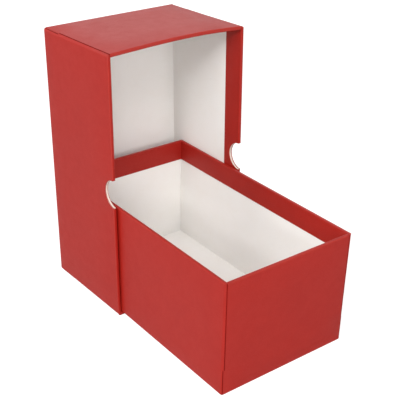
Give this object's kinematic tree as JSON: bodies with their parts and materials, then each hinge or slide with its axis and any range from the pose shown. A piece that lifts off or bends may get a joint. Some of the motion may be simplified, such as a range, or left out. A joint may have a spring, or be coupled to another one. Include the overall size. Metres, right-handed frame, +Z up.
{
  "type": "rigid paperboard storage box",
  "caption": "Two-piece rigid paperboard box for banknotes: an open tray and a full-depth telescoping lid with thumb notches, red paper outside and white inside.",
  "frame": {"origin": "middle of the outer face of the lid's lower end, the face that the lid stands on", "axes": "+Z up the lid's length, +Y from the lid's open side towards its panel, +X to the right seen from the open side"},
  "size_m": [0.1016, 0.1844, 0.1778],
  "materials": {
    "cover_paper": "red cover paper, fine grain, low sheen",
    "white_board": "white set-up board, matt",
    "stay_paper": "plain corner stay paper, matt"
  },
  "bodies": {
    "lid": {"lid_panel_board": "white_board", "lid_left_side_board": "white_board", "lid_right_side_board": "white_board", "lid_lower_end_board": "white_board", "lid_upper_end_board": "white_board", "lid_lower_left_stay": "stay_paper", "lid_lower_right_stay": "stay_paper", "lid_upper_left_stay": "stay_paper", "lid_upper_right_stay": "stay_paper", "lid_cover_sheet": "cover_paper", "lid_lower_end_flap": "cover_paper", "lid_upper_end_flap": "cover_paper"},
    "tray": {"tray_floor_board": "white_board", "tray_left_side_board": "white_board", "tray_right_side_board": "white_board", "tray_near_end_board": "white_board", "tray_far_end_board": "white_board", "tray_near_left_stay": "stay_paper", "tray_near_right_stay": "stay_paper", "tray_far_left_stay": "stay_paper", "tray_far_right_stay": "stay_paper", "tray_cover_sheet": "cover_paper", "tray_near_end_flap": "cover_paper", "tray_far_end_flap": "cover_paper"}
  },
  "joints": [
    {"name": "tray_slide", "type": "slide", "parent": "lid", "child": "tray", "axis": [0, -1, 0], "range_m": [-0.0081, 0.08]}
  ]
}
